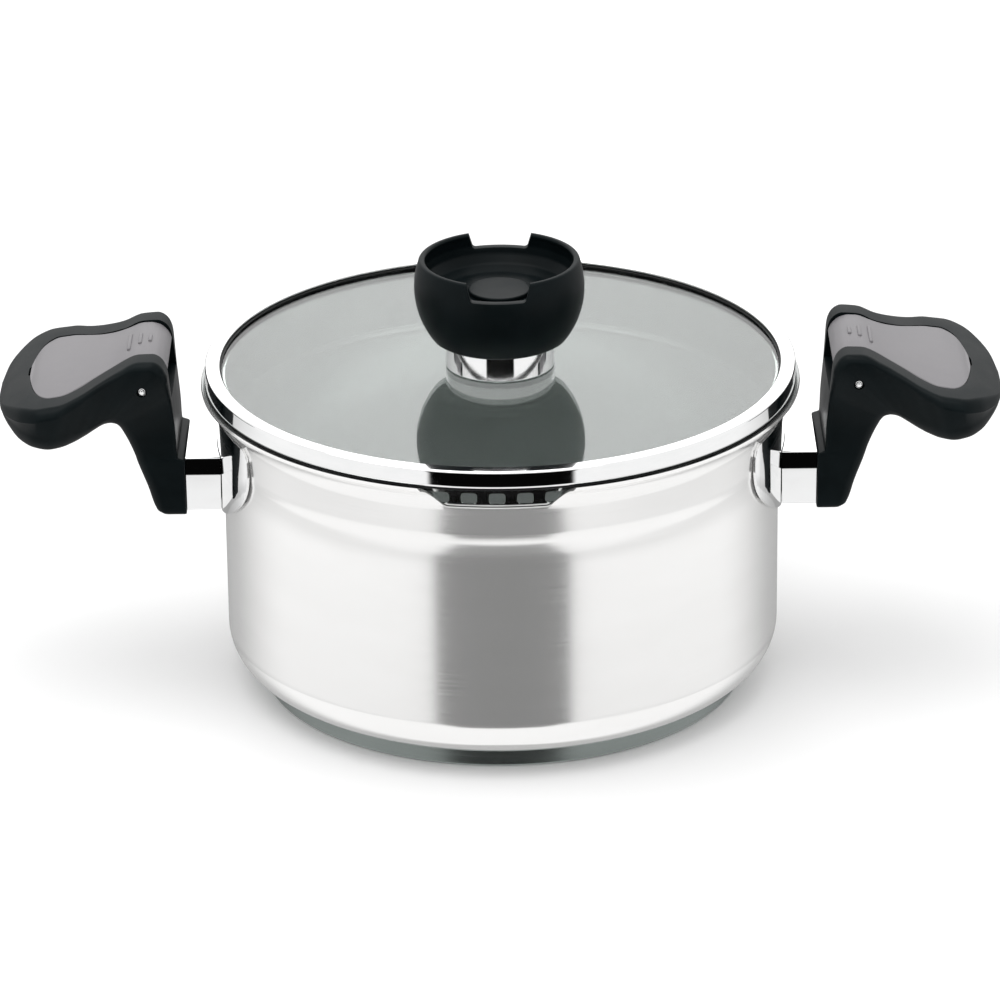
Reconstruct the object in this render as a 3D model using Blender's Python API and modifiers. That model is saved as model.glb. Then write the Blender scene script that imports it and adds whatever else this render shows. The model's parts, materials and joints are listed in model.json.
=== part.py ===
"""Casserole with a glass strainer lid, a spoon-rest knob and two side handles with latch levers.

Frame: +Z up, origin at the centre of the flat base, +X towards the right-hand handle.
Lengths in the tables below are millimetres; MM turns them into metres.
"""
from math import asin, cos, pi, radians, sin, sqrt

import bmesh
import bpy
from mathutils import Matrix, Vector

MM = 0.001
GAP = 0.3  # play left between pieces that touch

# Pot
WALL_R = 121.0
WALL_T = 1.0
CORNER_R = 18.0
BASE_R = 106.0
BASE_H = 7.6  # height of the seam above the base cap
LEDGE_Z = 110.6  # where the wall steps out to make the inner ledge
LEDGE_STEP = 0.9
LEDGE_RISE = 2.2
FLARE_Z = 126.2  # where the rim starts to flare
FLARE_R = 9.9
FLARE_TURN = radians(78)
RIM_Z = 136.9

# Pouring lips: a trapezoid notch at the front and at the back
LIP_TOP = 33.0
LIP_BOTTOM = 21.5
LIP_FLOOR_Z = 126.2
CLOCKING = radians(-0.9)  # the lips sit about a degree off the handles' mid line
ROUND_STEPS = 56  # faces around the large turned pieces
CORNER_STEPS = 4  # steps around a handle corner

# Lid
RING_R = 128.0
RING_IN = 121.6
RING_TOP = 145.0
RING_BOTTOM = 137.3
GLASS_R = 124.5
GLASS_TOP = 142.6
GLASS_BOTTOM = 138.8
SKIRT_R = 120.3
SKIRT_T = 0.9
SKIRT_Z = (113.5, 138.2)
WINDOW = (7.0, 5.0)  # width and height
WINDOW_Z = 129.8
WINDOW_PITCH = radians(5.6)
WINDOWS_PER_SIDE = 7

# Knob
KNOB_R = 36.8
KNOB_Z = 178.2
KNOB_RIM_Z = 191.0
KNOB_FOOT_Z = 154.9
BOWL_FLOOR_Z = 175.5
NOTCH = (11.8, 183.6, 16.9)  # half width at the floor, floor height, half width 20 mm higher
COLLAR_R = 23.7
BOLT_R = 2.5
BOLT_HOLE = 2.8

# Handles, for the one at +X
PIN = (153.8, 142.8)  # X and Z of the lever's pin
PIN_R = 2.0
PIN_END = 30.0
BOX_HALF = 22.9
BOX_Z = (83.8, 109.0)
LEG_FACE = 136.8
FOOT_T = 1.2
FOOT_OUTLINE = (  # distance along the wall from the middle, and Z
    (0.0, 83.8),
    (23.0, 83.8),
    (32.0, 86.4),
    (38.5, 89.2),
    (44.6, 92.5),
    (50.0, 96.2),
    (54.4, 100.2),
    (57.8, 104.4),
    (60.2, 109.6),
    (61.0, 115.0),
    (61.0, 119.0),
    (59.6, 123.6),
    (56.0, 125.8),
    (44.6, 125.8),
    (23.0, 125.8),
    (0.0, 125.8),
)
TONGUE_HALF = 16.5
TONGUE_Z = (89.0, 104.0)
TONGUE_END = 143.5
PLATE_T = 3.0
PLATE_PLAY = 0.7
RECESS_DEPTH = 4.2
RIB = (150.6, 160.0, 133.4, 7.0)  # from X, to X, bottom Z, half width
SPRING_SEAT = (147.0, 149.4, 2.5)  # from X, bottom Z, half width of the shelf above the spring
SPRING = (148.6, 141.3, 149.1, 1.4)  # X, bottom Z, top Z, coil radius
GRIP_BARS = ((151.2, 7.0, 156.3), (155.5, 11.5, 156.1), (160.2, 18.0, 154.4))  # X, length, top Z
BAR_Y = -0.5  # the bars' middle

# Handle sections from the foot of the leg to the tip of the palm:
# (pot-side or top X, Z), (outer or lower X, Z), half widths at those two, corner radii at those two
HANDLE_SECTIONS = (
    ((136.8, 82.3), (147.6, 82.3), (22.6, 22.6), (1.0, 3.0)),
    ((136.8, 83.6), (149.8, 84.2), (24.0, 24.0), (1.0, 4.0)),
    ((136.8, 95.0), (153.4, 95.0), (24.0, 24.0), (1.0, 4.5)),
    ((136.8, 107.6), (157.6, 106.8), (24.0, 24.0), (1.0, 4.5)),
    ((140.0, 109.4), (158.4, 109.6), (24.0, 24.0), (1.5, 4.5)),
    ((140.4, 120.0), (162.2, 118.8), (24.0, 24.6), (2.0, 5.0)),
    ((141.6, 134.6), (165.4, 124.6), (25.8, 26.2), (3.0, 5.0)),
    ((142.3, 142.0), (167.2, 125.8), (29.2, 27.2), (3.5, 5.0)),
    ((143.0, 149.2), (169.0, 126.2), (32.0, 28.2), (4.0, 5.5)),
    ((145.2, 154.2), (170.6, 126.2), (33.0, 29.4), (4.0, 6.0)),
    ((149.2, 156.4), (172.4, 125.9), (33.0, 31.0), (4.0, 6.5)),
    ((155.4, 156.1), (175.2, 125.0), (32.6, 34.0), (4.0, 7.0)),
    ((163.8, 152.3), (179.4, 123.4), (34.2, 38.0), (4.5, 7.5)),
    ((172.0, 148.7), (184.2, 121.9), (38.8, 42.0), (4.5, 8.0)),
    ((180.2, 145.5), (189.2, 120.9), (45.6, 45.2), (5.0, 8.5)),
    ((188.2, 143.6), (194.4, 120.7), (50.8, 47.0), (5.0, 8.5)),
    ((196.2, 142.4), (200.4, 121.5), (51.2, 46.0), (5.0, 8.5)),
    ((204.0, 140.8), (206.4, 123.2), (46.2, 40.6), (5.0, 7.5)),
    ((210.4, 138.0), (211.2, 125.8), (36.2, 31.0), (4.0, 5.0)),
    ((214.8, 135.0), (214.8, 128.4), (24.6, 20.6), (2.5, 2.5)),
    ((217.2, 132.0), (217.1, 130.4), (10.0, 9.0), (0.7, 0.7)),
)

# Lever plate, from its rear edge over the hump to its tip: top X, Z, half width
PLATE_STATIONS = (
    (142.9, 147.2, 19.8),
    (143.8, 150.2, 19.8),
    (145.8, 153.2, 19.6),
    (148.6, 155.2, 19.4),
    (151.8, 155.9, 19.4),
    (155.0, 155.8, 19.3),
    (161.0, 153.6, 19.3),
    (167.4, 150.5, 21.7),
    (174.2, 147.8, 25.7),
    (181.1, 145.4, 31.3),
    (188.0, 143.6, 35.4),
    (193.0, 142.8, 35.6),
    (197.1, 142.1, 32.4),
    (200.5, 141.7, 24.5),
    (203.0, 141.2, 11.5),
    (203.9, 141.0, 3.0),
)


# ---------------------------------------------------------------- helpers
def make_material(name, color, roughness, metallic=0.0, alpha=1.0):
    """Return a Principled BSDF material."""
    material = bpy.data.materials.new(name)
    material.use_nodes = True
    shader = material.node_tree.nodes["Principled BSDF"]
    shader.inputs["Base Color"].default_value = (*color, 1.0)
    shader.inputs["Roughness"].default_value = roughness
    shader.inputs["Metallic"].default_value = metallic
    shader.inputs["Alpha"].default_value = alpha
    return material


def add_object(name, mesh, material=None, collection=None):
    """Link a mesh as an object in the parts collection, or in another."""
    obj = bpy.data.objects.new(name, mesh)
    (collection or PARTS).objects.link(obj)
    if material:
        mesh.materials.clear()
        mesh.materials.append(material)
    return obj


def smooth(obj, angle=35):
    """Shade an object smooth with sharp edges kept."""
    obj.data.shade_smooth()
    obj.data.set_sharp_from_angle(angle=radians(angle))


def mesh_from_bmesh(name, bm):
    """Turn a bmesh into a mesh with consistent outward normals."""
    bmesh.ops.recalc_face_normals(bm, faces=bm.faces[:])
    mesh = bpy.data.meshes.new(name)
    bm.to_mesh(mesh)
    bm.free()
    return mesh


def arc(center, radius, start, end, count):
    """Points (r, z) along an arc; angles in radians from the +r direction."""
    steps = [start + (end - start) * i / count for i in range(count + 1)]
    return [(center[0] + radius * cos(a), center[1] + radius * sin(a)) for a in steps]


def turned(name, profile, material, steps=64, closed=False):
    """Turn an (r, z) profile in mm about the Z axis with a Screw modifier."""
    mesh = bpy.data.meshes.new(name)
    points = [(r * MM, 0.0, z * MM) for r, z in profile]
    edges = [(i, i + 1) for i in range(len(points) - 1)]
    if closed:
        edges.append((len(points) - 1, 0))
    mesh.from_pydata(points, edges, [])
    obj = add_object(name, mesh, material)
    screw = obj.modifiers.new("turn", "SCREW")
    screw.axis = "Z"
    screw.steps = steps
    screw.render_steps = steps
    screw.use_merge_vertices = True
    screw.merge_threshold = 0.00001
    screw.use_smooth_shade = True
    return obj


def disc(name, radius, hole, z0, z1, material, steps=36):
    """A turned washer, or a solid disc when the hole is 0, with small chamfers."""
    c = min(0.3, (z1 - z0) / 4)
    profile = [(hole, z1), (radius - c, z1), (radius, z1 - c), (radius, z0 + c), (radius - c, z0)]
    profile.append((hole, z0))
    return turned(name, profile, material, steps, closed=hole > 0)


def box_cutter(name, low, high):
    """A box between two corners in mm, kept as a hidden cutter."""
    bm = bmesh.new()
    bmesh.ops.create_cube(bm, size=1.0)
    size = Vector([high[i] - low[i] for i in range(3)]) * MM
    middle = Vector([(high[i] + low[i]) / 2 for i in range(3)]) * MM
    bmesh.ops.scale(bm, vec=size, verts=bm.verts)
    bmesh.ops.translate(bm, vec=middle, verts=bm.verts)
    return as_cutter(add_object(name, mesh_from_bmesh(name, bm), collection=CUTTERS))


def cylinder_cutter(name, radius, center, length, axis, segments=24):
    """A cylinder about a point in mm, kept as a hidden cutter."""
    bm = bmesh.new()
    bmesh.ops.create_cone(
        bm, cap_ends=True, segments=segments, radius1=radius * MM, radius2=radius * MM, depth=length * MM
    )
    turn = Vector((0, 0, 1)).rotation_difference(Vector(axis)).to_matrix().to_4x4()
    bm.transform(Matrix.Translation(Vector(center) * MM) @ turn)
    return as_cutter(add_object(name, mesh_from_bmesh(name, bm), collection=CUTTERS))


def as_cutter(obj):
    """Hide an object that only cuts others."""
    obj.hide_render = True
    obj.display_type = "WIRE"
    return obj


def cut(obj, cutter, operation="DIFFERENCE"):
    """Add a Boolean modifier."""
    boolean = obj.modifiers.new(cutter.name, "BOOLEAN")
    boolean.operation = operation
    boolean.solver = "EXACT"
    boolean.object = cutter
    return obj


def prism(name, outline, half_width, material=None):
    """Extrude an (x, z) outline in mm along Y, to both sides of the middle."""
    bm = bmesh.new()
    front = [bm.verts.new((x * MM, -half_width * MM, z * MM)) for x, z in outline]
    bm.faces.new(front)
    faces = bmesh.ops.extrude_face_region(bm, geom=bm.faces[:])
    moved = [v for v in faces["geom"] if isinstance(v, bmesh.types.BMVert)]
    bmesh.ops.translate(bm, vec=(0, 2 * half_width * MM, 0), verts=moved)
    mesh = mesh_from_bmesh(name, bm)
    if material:
        return add_object(name, mesh, material)
    return as_cutter(add_object(name, mesh, collection=CUTTERS))


def loft(name, rings, material=None):
    """Skin closed rings of points in mm, with a flat cap at each end."""
    bm = bmesh.new()
    rows = [[bm.verts.new(Vector(p) * MM) for p in ring] for ring in rings]
    count = len(rows[0])
    for a, b in zip(rows, rows[1:]):
        for i in range(count):
            j = (i + 1) % count
            bm.faces.new((a[i], a[j], b[j], b[i]))
    bm.faces.new(rows[0])
    bm.faces.new(rows[-1])
    mesh = mesh_from_bmesh(name, bm)
    if material:
        return add_object(name, mesh, material)
    return as_cutter(add_object(name, mesh, collection=CUTTERS))


def baked(obj):
    """Apply an object's modifiers to its mesh, so that the mesh can be shared."""
    graph = bpy.context.evaluated_depsgraph_get()
    mesh = bpy.data.meshes.new_from_object(obj.evaluated_get(graph))
    obj.modifiers.clear()
    obj.data = mesh
    return obj


def both_sides(obj, base_name, origin=(0.0, 0.0)):
    """Put a +X handle piece's origin at (x, z) in mm and add its mirror image at -X."""
    baked(obj)
    point = Vector((origin[0] * MM, 0.0, origin[1] * MM))
    obj.data.transform(Matrix.Translation(-point))
    obj.location = point
    obj.name = f"right_{base_name}"
    mirrored = obj.data.copy()
    mirrored.transform(Matrix.Scale(-1, 4, Vector((1, 0, 0))))
    mirrored.flip_normals()
    twin = bpy.data.objects.new(f"left_{base_name}", mirrored)
    PARTS.objects.link(twin)
    twin.location = (-point.x, 0.0, point.z)


# ---------------------------------------------------------------- pot
def pot_profile():
    """Inner floor to rim to outer bottom, as one open line that starts and ends on the axis."""
    center = (WALL_R - CORNER_R, BASE_H + sqrt(CORNER_R**2 - (BASE_R - WALL_R + CORNER_R) ** 2))
    meet = asin((center[1] - BASE_H) / CORNER_R)
    floor_z = BASE_H + WALL_T
    inner_r = CORNER_R - WALL_T
    inner_meet = asin((center[1] - floor_z) / inner_r)
    inner = [(0.0, floor_z)] + arc(center, inner_r, -inner_meet, 0.0, 5)
    upper = WALL_R + LEDGE_STEP
    flare = (upper + FLARE_R, FLARE_Z)
    inner.append((WALL_R - WALL_T, LEDGE_Z + 0.5))
    inner.append((upper - WALL_T, LEDGE_Z + 0.5 + LEDGE_RISE))
    inner += arc(flare, FLARE_R + WALL_T, pi, pi - FLARE_TURN, 4)
    outer = arc(flare, FLARE_R, pi - FLARE_TURN, pi, 4)
    outer.append((upper, LEDGE_Z + LEDGE_RISE))
    outer.append((WALL_R, LEDGE_Z))
    outer += arc(center, CORNER_R, 0.0, -meet, 5)
    return inner + outer + [(0.0, BASE_H)]


def lip_cutter():
    """Trapezoid bar along Y that opens both pouring lips."""
    slope = (LIP_TOP - LIP_BOTTOM) / (RIM_Z - LIP_FLOOR_Z)
    top_z = RIM_Z + 3.0
    top = LIP_BOTTOM + slope * (top_z - LIP_FLOOR_Z)
    outline = [(-LIP_BOTTOM, LIP_FLOOR_Z), (LIP_BOTTOM, LIP_FLOOR_Z), (top, top_z), (-top, top_z)]
    bar = prism("cut_pouring_lips", outline, WALL_R + 20)
    bar.rotation_euler = (0, 0, CLOCKING)
    return bar


def build_pot():
    """Pot shell and the encapsulated base."""
    pot = turned("pot_body", pot_profile(), STEEL, steps=ROUND_STEPS)
    cut(pot, lip_cutter())
    disc("base_core", BASE_R - 1.4, 0.0, 1.1, BASE_H - GAP, ALUMINIUM, steps=ROUND_STEPS)
    wall = BASE_R - 1.0
    rim_z = BASE_H - GAP
    cap = [(0.0, 0.8), (wall, 0.8), (wall, rim_z), (BASE_R, rim_z), (BASE_R, 0.9), (BASE_R - 0.9, 0.0)]
    turned("base_cap", cap + [(0.0, 0.0)], STEEL_DARK, steps=ROUND_STEPS)


# ---------------------------------------------------------------- lid
def build_lid():
    """Seal, ring, glass and strainer skirt."""
    seal = [(122.6, 137.0), (127.2, 137.0), (127.2, 136.3), (122.6, 136.3)]
    turned("rim_seal", seal, RUBBER, steps=ROUND_STEPS, closed=True)
    flange = 1.1
    inner = RING_R - 1.3
    ring = [(RING_IN, RING_TOP), (RING_R - 1.0, RING_TOP), (RING_R, RING_TOP - 1.0)]
    ring += [(RING_R, RING_BOTTOM + 1.6), (RING_R - 1.3, RING_BOTTOM), (SKIRT_R + 0.4, RING_BOTTOM)]
    ring += [(SKIRT_R + 0.4, GLASS_BOTTOM - GAP), (inner, GLASS_BOTTOM - GAP)]
    ring += [(inner, RING_TOP - flange), (RING_IN, RING_TOP - flange)]
    turned("lid_ring", ring, STEEL, steps=ROUND_STEPS, closed=True)
    lip = 143.6
    web = inner - GAP
    seal = [(RING_IN - 0.8, lip), (web, lip), (web, GLASS_BOTTOM), (GLASS_R + GAP, GLASS_BOTTOM)]
    seal += [(GLASS_R + GAP, GLASS_TOP + GAP), (RING_IN - 0.8, GLASS_TOP + GAP)]
    turned("glass_seal", seal, RUBBER, steps=ROUND_STEPS, closed=True)
    disc("lid_glass", GLASS_R, 4.0, GLASS_BOTTOM, GLASS_TOP, GLASS, steps=ROUND_STEPS)
    low, high = SKIRT_Z
    skirt = [(SKIRT_R - SKIRT_T, high), (SKIRT_R, high), (SKIRT_R, low), (SKIRT_R - SKIRT_T, low)]
    obj = turned("strainer_skirt", skirt, STEEL, steps=ROUND_STEPS, closed=True)
    half_w = WINDOW[0] / 2
    half_h = WINDOW[1] / 2
    middle = (WINDOWS_PER_SIDE - 1) / 2
    for side in range(2):
        for i in range(WINDOWS_PER_SIDE):
            low = (SKIRT_R - 4, -half_w, WINDOW_Z - half_h)
            hole = box_cutter(f"cut_window_{side}_{i}", low, (SKIRT_R + 4, half_w, WINDOW_Z + half_h))
            hole.rotation_euler = (0, 0, CLOCKING + (side - 0.5) * pi + (i - middle) * WINDOW_PITCH)
            cut(obj, hole)


def knob_bowl_profile():
    """Bowl wall, underside hollow and bolt boss as one closed loop."""
    rim_angle = asin((KNOB_RIM_Z - KNOB_Z) / KNOB_R)
    foot_angle = -asin((KNOB_Z - KNOB_FOOT_Z - 1.0) / KNOB_R)
    outer = arc((0, KNOB_Z), KNOB_R, rim_angle, foot_angle, 9)
    foot_r = outer[-1][0]
    boss = [(foot_r - 1.6, KNOB_FOOT_Z), (21.0, KNOB_FOOT_Z), (21.0, 169.0), (8.0, 169.0)]
    boss += [(8.0, KNOB_FOOT_Z), (BOLT_HOLE, KNOB_FOOT_Z), (BOLT_HOLE, 171.5), (5.6, 171.5)]
    inner = [(5.6, BOWL_FLOOR_Z), (24.0, BOWL_FLOOR_Z), (29.4, 177.4), (32.4, 181.0)]
    return inner + [(33.2, 185.0), (32.6, 188.4), (31.4, KNOB_RIM_Z)] + outer + boss


def build_knob():
    """Knob on its steel collar, with the bolt and washers that clamp it through the glass."""
    bowl = turned("knob_bowl", knob_bowl_profile(), BLACK, steps=36, closed=True)
    half, floor, wide = NOTCH
    outline = [(-half, floor), (half, floor), (wide, floor + 20), (-wide, floor + 20)]
    notches = prism("cut_spoon_notches", outline, 60)
    notches.rotation_euler = (0, 0, CLOCKING)
    cut(bowl, notches)
    top = KNOB_FOOT_Z - GAP
    foot = GLASS_TOP + GAP
    wall = COLLAR_R - 1.5
    collar = [(BOLT_HOLE + 0.4, top), (COLLAR_R - 0.5, top), (COLLAR_R, top - 0.5), (COLLAR_R, foot)]
    collar += [(wall, foot), (wall, top - 1.5), (BOLT_HOLE + 0.4, top - 1.5)]
    turned("knob_collar", collar, STEEL, steps=36, closed=True)
    disc("knob_spacer", wall - GAP, BOLT_HOLE, foot, foot + 1.6, RUBBER)
    cap = [(0.0, 177.3), (13.0, 177.3), (13.5, 176.8), (13.5, BOWL_FLOOR_Z + GAP)]
    turned("knob_cap", cap + [(0.0, BOWL_FLOOR_Z + GAP)], BLACK, steps=36)
    bolt = [(0.0, 175.2), (4.6, 175.2), (5.0, 174.8), (5.0, 171.8), (BOLT_R, 171.8), (BOLT_R, 132.0)]
    turned("knob_bolt", bolt + [(0.0, 132.0)], STEEL, steps=16)
    disc("lid_washer", 11.0, BOLT_HOLE, 137.4, GLASS_BOTTOM - GAP, RUBBER, steps=24)
    disc("clamp_washer", 9.0, BOLT_HOLE, 135.8, 137.1, STEEL, steps=24)
    disc("knob_nut", 4.6, BOLT_HOLE + 0.4, 132.0, 135.5, STEEL, steps=6)


# ---------------------------------------------------------------- handles
def section_ring(upper, lower, half_widths, radii):
    """One section of the handle: a rounded trapezoid between two edge points."""
    upper = Vector((upper[0], 0.0, upper[1]))
    lower = Vector((lower[0], 0.0, lower[1]))
    side = Vector((0.0, 1.0, 0.0))
    along = (upper - lower).normalized()
    points = []
    ends = ((upper, half_widths[0], radii[0], 1), (lower, half_widths[1], radii[1], -1))
    for end, half, radius, turn in ends:
        corner = []
        for i in range(CORNER_STEPS + 1):
            angle = i * pi / 2 / CORNER_STEPS
            out = half - radius + radius * sin(angle)
            corner.append((out, end - turn * along * radius * (1 - cos(angle))))
        right = [base + side * out for out, base in corner]
        left = [base - side * out for out, base in corner]
        points += left[::-1] + right if turn > 0 else right[::-1] + left
    return points


def plate_sections(inward, outward, widen):
    """Sections across the lever plate, from a depth below its top face to a height above it."""
    rings = []
    last = len(PLATE_STATIONS) - 1
    for i, (x, z, half) in enumerate(PLATE_STATIONS):
        before = PLATE_STATIONS[max(i - 1, 0)]
        after = PLATE_STATIONS[min(i + 1, last)]
        along = Vector((after[0] - before[0], 0.0, after[1] - before[1])).normalized()
        normal = Vector((-along.z, 0.0, along.x))
        top = Vector((x, 0.0, z)) + normal * outward
        bottom = Vector((x, 0.0, z)) - normal * inward
        shift = along * (widen if i == last else -widen if i == 0 else 0.0)
        side = Vector((0.0, half + widen, 0.0))
        rings.append([top + shift - side, top + shift + side, bottom + shift + side, bottom + shift - side])
    return rings


def build_handle_body():
    """Soft black handle: leg, hump and palm, hollowed for the lever, latch and bracket tongue."""
    body = loft("handle_body", [section_ring(*s) for s in HANDLE_SECTIONS], BLACK)
    cut(body, loft("cut_recess", plate_sections(RECESS_DEPTH, 6.0, PLATE_PLAY)))
    half = PLATE_STATIONS[0][2] + PLATE_PLAY
    opening = [(139.0, 135.7), (147.2, 135.7), (147.2, 149.0), (139.0, 149.0)]
    cut(body, prism("cut_rear_opening", opening, half))
    x0, x1, bottom, half = RIB
    rib_room = [(x0 - 1.0, 130.8), (x1 + 2.0, 130.8), (x1 + 2.0, 152.0), (x0 - 1.0, 152.0)]
    cut(body, prism("cut_rib_room", rib_room, half + PLATE_PLAY))
    seat_x, seat_z, seat_half = SPRING_SEAT
    low = (seat_x - PLATE_PLAY, -seat_half - PLATE_PLAY, seat_z - 1.0)
    cut(body, box_cutter("cut_seat_room", low, (x0, seat_half + PLATE_PLAY, 153.0)))
    latch_room = [(144.2, 91.0), (150.6, 91.0), (154.4, 112.0), (158.6, 131.6), (149.0, 131.6)]
    latch_room.append((144.2, 104.0))
    cut(body, prism("cut_latch_room", latch_room, half))
    low = (LEG_FACE - 2, -TONGUE_HALF - 0.4, TONGUE_Z[0] - 0.4)
    cut(body, box_cutter("cut_socket", low, (TONGUE_END + 0.9, TONGUE_HALF + 0.4, TONGUE_Z[1] + 0.4)))
    x, low, high, coil = SPRING
    center = (x, 0, (low - GAP + high + 1) / 2)
    cut(body, cylinder_cutter("cut_spring_room", coil + 0.8, center, high + 1 - low + GAP, (0, 0, 1), 16))
    cut(body, cylinder_cutter("cut_pin_hole", PIN_R + GAP, (PIN[0], 0, PIN[1]), 80, (0, 1, 0), 24))
    smooth(body, 40)
    both_sides(body, "handle_body", PIN)


def build_lever():
    """Grey release lever: inlaid plate, pivot rib, spring seat and three grip bars towards the back."""
    lever = loft("release_lever", plate_sections(PLATE_T, 0.0, 0.0), GREY)
    x0, x1, bottom, half = RIB
    rib = prism("join_rib", [(x0, bottom), (x1, bottom), (x1, 153.0), (x0, 154.4)], half)
    cut(lever, rib, "UNION")
    seat_x, seat_z, seat_half = SPRING_SEAT
    seat = box_cutter("join_seat", (seat_x, -seat_half, seat_z), (x0 + 1.0, seat_half, 152.4))
    cut(lever, seat, "UNION")
    for i, (x, length, z) in enumerate(GRIP_BARS):
        low = (x - 0.8, BAR_Y - length / 2, z - 1.5)
        bar = box_cutter(f"join_bar_{i}", low, (x + 0.8, BAR_Y + length / 2, z + 0.2))
        cut(lever, bar, "UNION")
    cut(lever, cylinder_cutter("cut_lever_bore", PIN_R + GAP, (PIN[0], 0, PIN[1]), 40, (0, 1, 0), 24))
    both_sides(lever, "release_lever", PIN)


def build_latch():
    """Steel latch strip under the lever, with a nose in the bracket's window."""
    outline = [(152.4, 133.1), (154.4, 133.1), (147.2, 94.0), (142.2, 94.0), (142.2, 96.4), (145.6, 98.4)]
    both_sides(prism("latch_hook", outline, 5.5, STEEL), "latch_hook", PIN)


def build_pin():
    """Cross pin with a dimpled head at each end."""
    dimple = 0.6
    end = PIN_END
    profile = [(0.0, end - dimple), (0.9, end - dimple), (1.2, end), (PIN_R - 0.2, end), (PIN_R, end - 0.3)]
    profile += [(r, -y) for r, y in reversed(profile)]
    pin = turned("lever_pin", profile, STEEL, steps=16)
    baked(pin)
    pin.data.transform(Matrix.Rotation(pi / 2, 4, "X"))
    pin.data.transform(Matrix.Translation((PIN[0] * MM, 0, PIN[1] * MM)))
    both_sides(pin, "lever_pin", PIN)


def build_spring():
    """Small coil spring that pushes the plate's inner end up."""
    x, low, high, coil = SPRING
    wire = 0.3
    turns = 5
    per_turn = 9
    curve = bpy.data.curves.new("lever_spring", "CURVE")
    curve.dimensions = "3D"
    curve.bevel_depth = wire * MM
    curve.bevel_resolution = 1
    curve.use_fill_caps = True
    spline = curve.splines.new("POLY")
    count = turns * per_turn + 1
    spline.points.add(count - 1)
    for i in range(count):
        angle = 2 * pi * i / per_turn
        z = low + wire + (high - low - 2 * wire) * i / (count - 1)
        spline.points[i].co = ((x + coil * cos(angle)) * MM, coil * sin(angle) * MM, z * MM, 1.0)
    obj = bpy.data.objects.new("lever_spring_curve", curve)
    PARTS.objects.link(obj)
    graph = bpy.context.evaluated_depsgraph_get()
    mesh = bpy.data.meshes.new_from_object(obj.evaluated_get(graph))
    bpy.data.objects.remove(obj)
    bm = bmesh.new()
    bm.from_mesh(mesh)
    bmesh.ops.remove_doubles(bm, verts=bm.verts, dist=0.00001)
    spring = add_object("lever_spring", mesh_from_bmesh("lever_spring", bm), STEEL)
    both_sides(spring, "lever_spring", (x, low))


def build_bracket():
    """Saddle plate on the wall and the hollow box with the tongue that carries the handle."""
    radius = WALL_R + LEDGE_STEP + GAP
    outline = list(FOOT_OUTLINE) + [(-a, z) for a, z in reversed(FOOT_OUTLINE[1:-1])]
    bm = bmesh.new()
    flat = [bm.verts.new((0.0, a * MM, z * MM)) for a, z in outline]
    bm.faces.new(flat)
    for i in range(-5, 6):
        where = (0.0, i * 9.3 * MM, 0.0)
        geometry = bm.verts[:] + bm.edges[:] + bm.faces[:]
        bmesh.ops.bisect_plane(bm, geom=geometry, plane_co=where, plane_no=(0.0, 1.0, 0.0))
    for vert in bm.verts:
        angle = vert.co.y / (radius * MM)
        vert.co = Vector((radius * MM * cos(angle), radius * MM * sin(angle), vert.co.z))
    for face in bm.faces:
        face.normal_update()
    mesh = bpy.data.meshes.new("bracket_foot")
    bm.to_mesh(mesh)
    bm.free()
    foot = add_object("bracket_foot", mesh, STEEL)
    shell = foot.modifiers.new("thickness", "SOLIDIFY")
    shell.thickness = FOOT_T * MM
    shell.offset = 1.0 if mesh.polygons[0].normal.x > 0 else -1.0
    both_sides(foot, "bracket_foot")

    wall = 1.6
    box = box_cutter("bracket_box", (112.0, -BOX_HALF, BOX_Z[0]), (LEG_FACE - GAP, BOX_HALF, BOX_Z[1]))
    low = (LEG_FACE - 1.0, -TONGUE_HALF, TONGUE_Z[0])
    cut(box, box_cutter("join_tongue", low, (TONGUE_END, TONGUE_HALF, TONGUE_Z[1])), "UNION")
    low = (110.0, -BOX_HALF + wall, BOX_Z[0] + wall)
    high = (LEG_FACE - GAP - wall, BOX_HALF - wall, BOX_Z[1] - wall)
    cut(box, box_cutter("cut_box_hollow", low, high))
    cut(box, box_cutter("cut_latch_window", (130.0, -7.2, 92.4), (TONGUE_END + 1, 7.2, 100.8)))
    saddle = radius + FOOT_T + GAP
    cut(box, cylinder_cutter("cut_saddle", saddle, (0, 0, 100), 80, (0, 0, 1), 128))
    CUTTERS.objects.unlink(box)
    PARTS.objects.link(box)
    box.hide_render = False
    box.display_type = "TEXTURED"
    box.data.materials.append(STEEL)
    both_sides(box, "bracket_box")


for old in list(bpy.data.objects):
    bpy.data.objects.remove(old)
PARTS = bpy.data.collections.new("casserole")
CUTTERS = bpy.data.collections.new("cutters")
bpy.context.scene.collection.children.link(PARTS)
bpy.context.scene.collection.children.link(CUTTERS)

STEEL = make_material("polished_steel", (0.78, 0.78, 0.78), 0.18, 1.0)
STEEL_DARK = make_material("base_steel", (0.55, 0.56, 0.56), 0.3, 1.0)
ALUMINIUM = make_material("aluminium", (0.8, 0.81, 0.83), 0.4, 1.0)
BLACK = make_material("black_handle", (0.02, 0.022, 0.024), 0.55)
GREY = make_material("grey_lever", (0.27, 0.25, 0.26), 0.4)
RUBBER = make_material("silicone", (0.02, 0.02, 0.02), 0.7)
GLASS = make_material("lid_glass", (0.8, 0.86, 0.84), 0.02, 0.0, 0.35)

build_pot()
build_lid()
build_knob()
build_handle_body()
build_lever()
build_latch()
build_pin()
build_spring()
build_bracket()
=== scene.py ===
"""Looks for the casserole with the glass strainer lid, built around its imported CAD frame.

Lengths in the tables are millimetres, as in the CAD source; MM turns them into metres.
"""
import json
from math import asin, cos, pi, radians, sin, sqrt

import bmesh
import bpy
from mathutils import Matrix, Vector

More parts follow.
